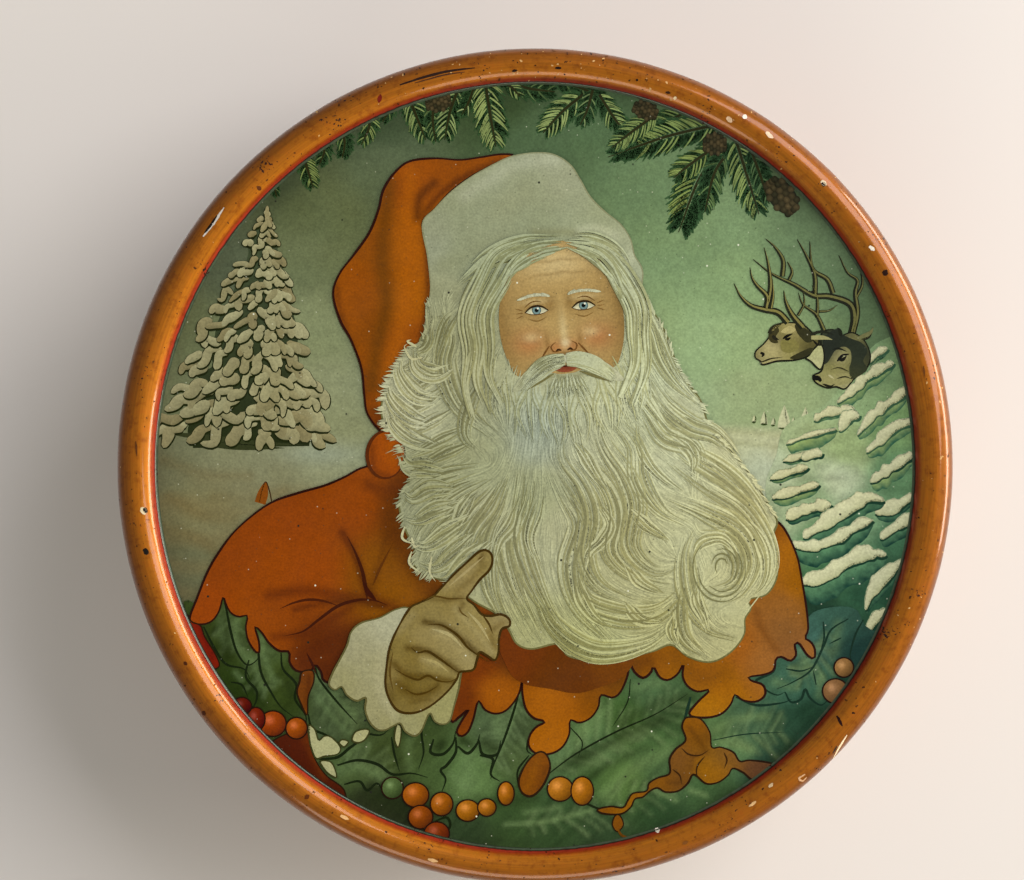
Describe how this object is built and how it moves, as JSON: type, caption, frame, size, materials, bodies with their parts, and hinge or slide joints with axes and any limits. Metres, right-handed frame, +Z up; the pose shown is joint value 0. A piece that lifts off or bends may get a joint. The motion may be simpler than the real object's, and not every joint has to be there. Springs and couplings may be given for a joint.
{
  "type": "round slip-lid tin",
  "caption": "Low round tinplate box with a slip-over lid, a raised ring bead round a printed winter picture, a rolled wall and a seamed bottom.",
  "frame": {"origin": "centre of the circle that the tin stands on", "axes": "+Z up through the lid, +Y towards the top of the lid's picture, +X to its right"},
  "size_m": [0.165, 0.165, 0.057],
  "materials": {
    "printed_tinplate": "lithographed and varnished, satin gloss, worn on the bead",
    "lacquered_tinplate": "orange-gold lacquer, satin gloss",
    "bare_tinplate": "bare tin, dulled"
  },
  "bodies": {
    "tin_body": {"body_wall": "lacquered_tinplate", "bottom_end": "bare_tinplate"},
    "tin_lid": {"lid": "printed_tinplate"}
  },
  "joints": [
    {"name": "lid_lift", "type": "slide", "parent": "tin_body", "child": "tin_lid", "axis": [0, 0, 1], "range_m": [0, 0.06]}
  ]
}
